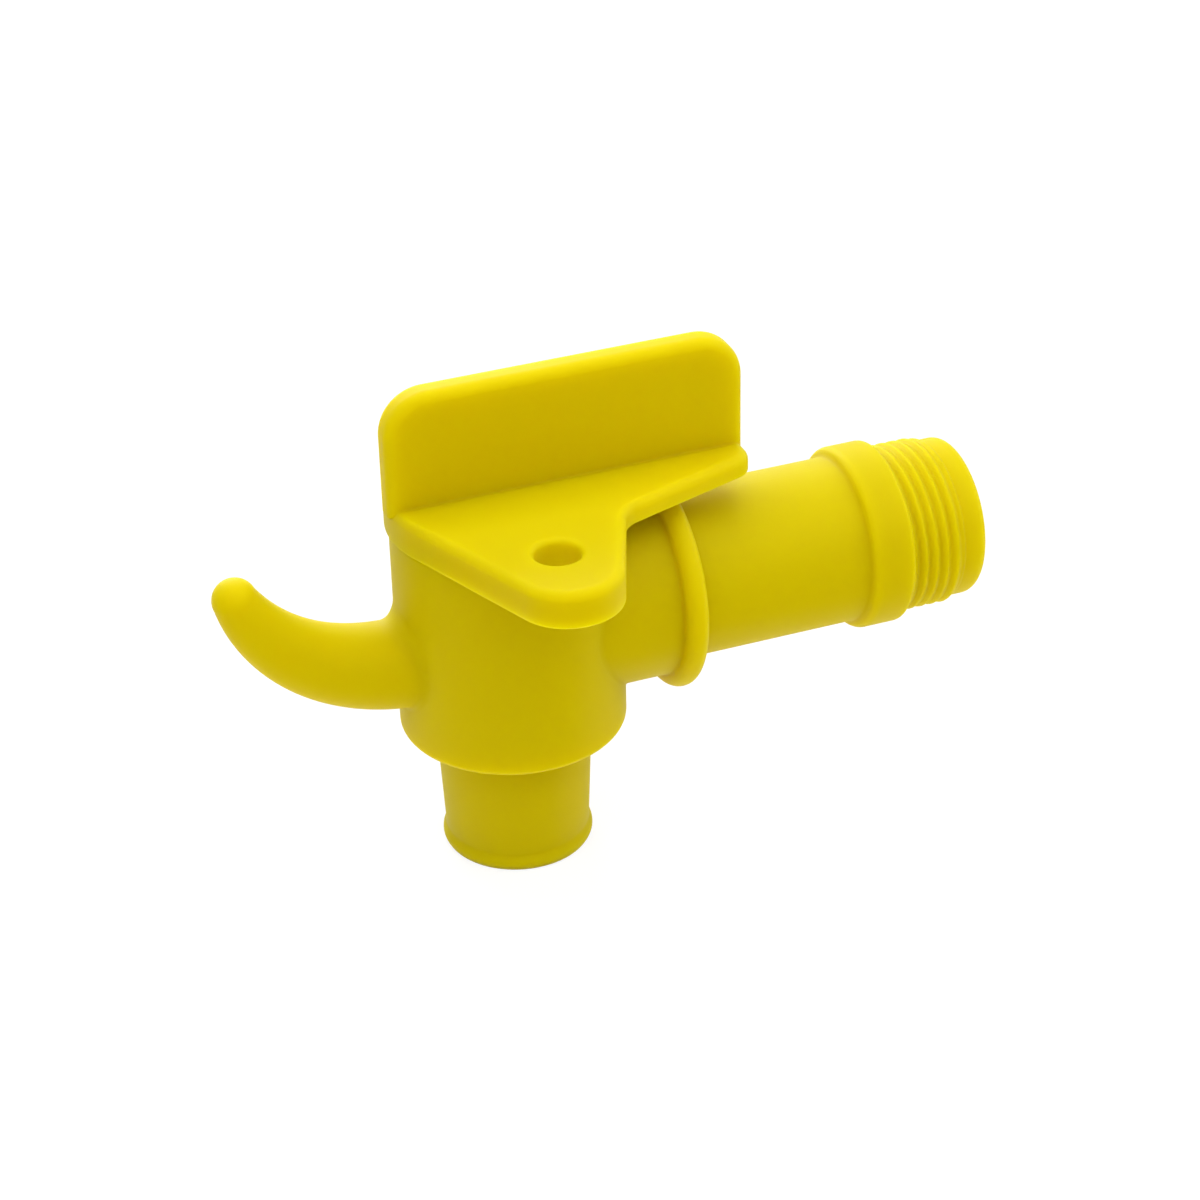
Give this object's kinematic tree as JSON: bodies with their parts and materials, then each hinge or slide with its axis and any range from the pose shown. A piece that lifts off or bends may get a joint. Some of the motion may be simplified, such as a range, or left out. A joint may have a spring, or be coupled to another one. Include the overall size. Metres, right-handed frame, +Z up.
{
  "type": "drum tap",
  "caption": "Moulded plastic plug tap for a drum's 3/4 inch bung, with threaded inlet, disc, beaded spout, bail hook and a turning key with thumb wing and padlock lug.",
  "frame": {"origin": "on the inlet's axis, at the collar's shoulder where the tap stops against the drum", "axes": "+X along the inlet into the drum, +Z up along the axis that the key turns on, the padlock lug towards -Y"},
  "size_m": [0.1198, 0.0525, 0.0803],
  "materials": {
    "yellow_polyethylene": "satin moulded polyethylene, slightly translucent, with soft edges",
    "black_rubber": "smooth moulded rubber"
  },
  "bodies": {
    "body": {"tap_body": "yellow_polyethylene"},
    "turning_key": {"key": "yellow_polyethylene", "stem_seal": "black_rubber"}
  },
  "joints": [
    {"name": "key_turn", "type": "hinge", "parent": "body", "child": "turning_key", "pos_m": [-0.0613, 0, 0], "axis": [0, 0, 1], "range_deg": [-90, 0]}
  ]
}
